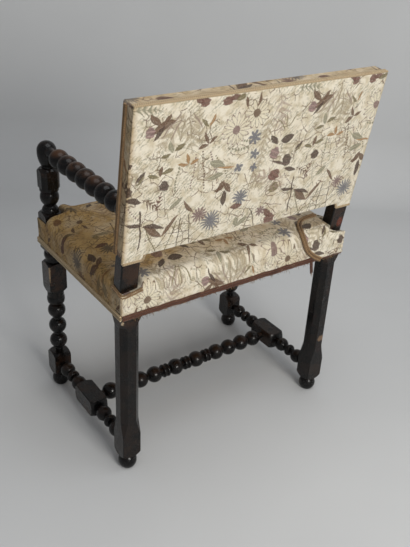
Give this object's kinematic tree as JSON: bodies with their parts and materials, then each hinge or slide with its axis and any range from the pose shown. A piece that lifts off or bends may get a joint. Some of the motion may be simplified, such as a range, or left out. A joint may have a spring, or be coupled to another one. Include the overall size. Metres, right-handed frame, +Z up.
{
  "type": "armchair",
  "caption": "Low-backed armchair with a dark bobbin-turned wooden frame, H stretcher and a stuffed seat and back in floral cloth.",
  "frame": {"origin": "middle of the whole chair's box, on the floor", "axes": "+Z up; the sitter faces -Y, so the back is at +Y; +X is on the sitter's left"},
  "size_m": [0.6118, 0.465, 0.8672],
  "materials": {
    "ebonised_wood": "dark polished, worn on the arms",
    "plain_wood": "unfinished, hidden in the upholstery",
    "floral_cloth": "cream woven cloth with a traditional flower pattern",
    "beige_gimp": "double-cord braid",
    "brown_gimp": "worn dark double-cord braid",
    "rust_braid": "frayed braid",
    "webbing": "herringbone jute webbing",
    "hessian": "coarse open weave",
    "stuffing": "curled hair stuffing"
  },
  "bodies": {
    "root": {"arm_left": "ebonised_wood", "arm_right": "ebonised_wood", "back_bottom_rail": "plain_wood", "back_front_cover": "floral_cloth", "back_gimp_bottom": "beige_gimp", "back_gimp_left": "brown_gimp", "back_gimp_right": "beige_gimp", "back_gimp_top": "beige_gimp", "back_hessian": "hessian", "back_outside_cover": "floral_cloth", "back_stuffing": "stuffing", "back_top_rail": "plain_wood", "back_webbing": "webbing", "cross_stretcher": "ebonised_wood", "frame_pegs": "plain_wood", "front_post_left": "ebonised_wood", "front_post_right": "ebonised_wood", "rear_post_left": "ebonised_wood", "rear_post_right": "ebonised_wood", "seat_braid_rear": "rust_braid", "seat_cover": "floral_cloth", "seat_gimp_front": "beige_gimp", "seat_gimp_left": "beige_gimp", "seat_gimp_right": "beige_gimp", "seat_hessian": "hessian", "seat_rail_front": "plain_wood", "seat_rail_left": "plain_wood", "seat_rail_rear": "plain_wood", "seat_rail_right": "plain_wood", "seat_stuffing": "stuffing", "seat_webbing": "webbing", "side_stretcher_left": "ebonised_wood", "side_stretcher_right": "ebonised_wood"}
  },
  "joints": []
}
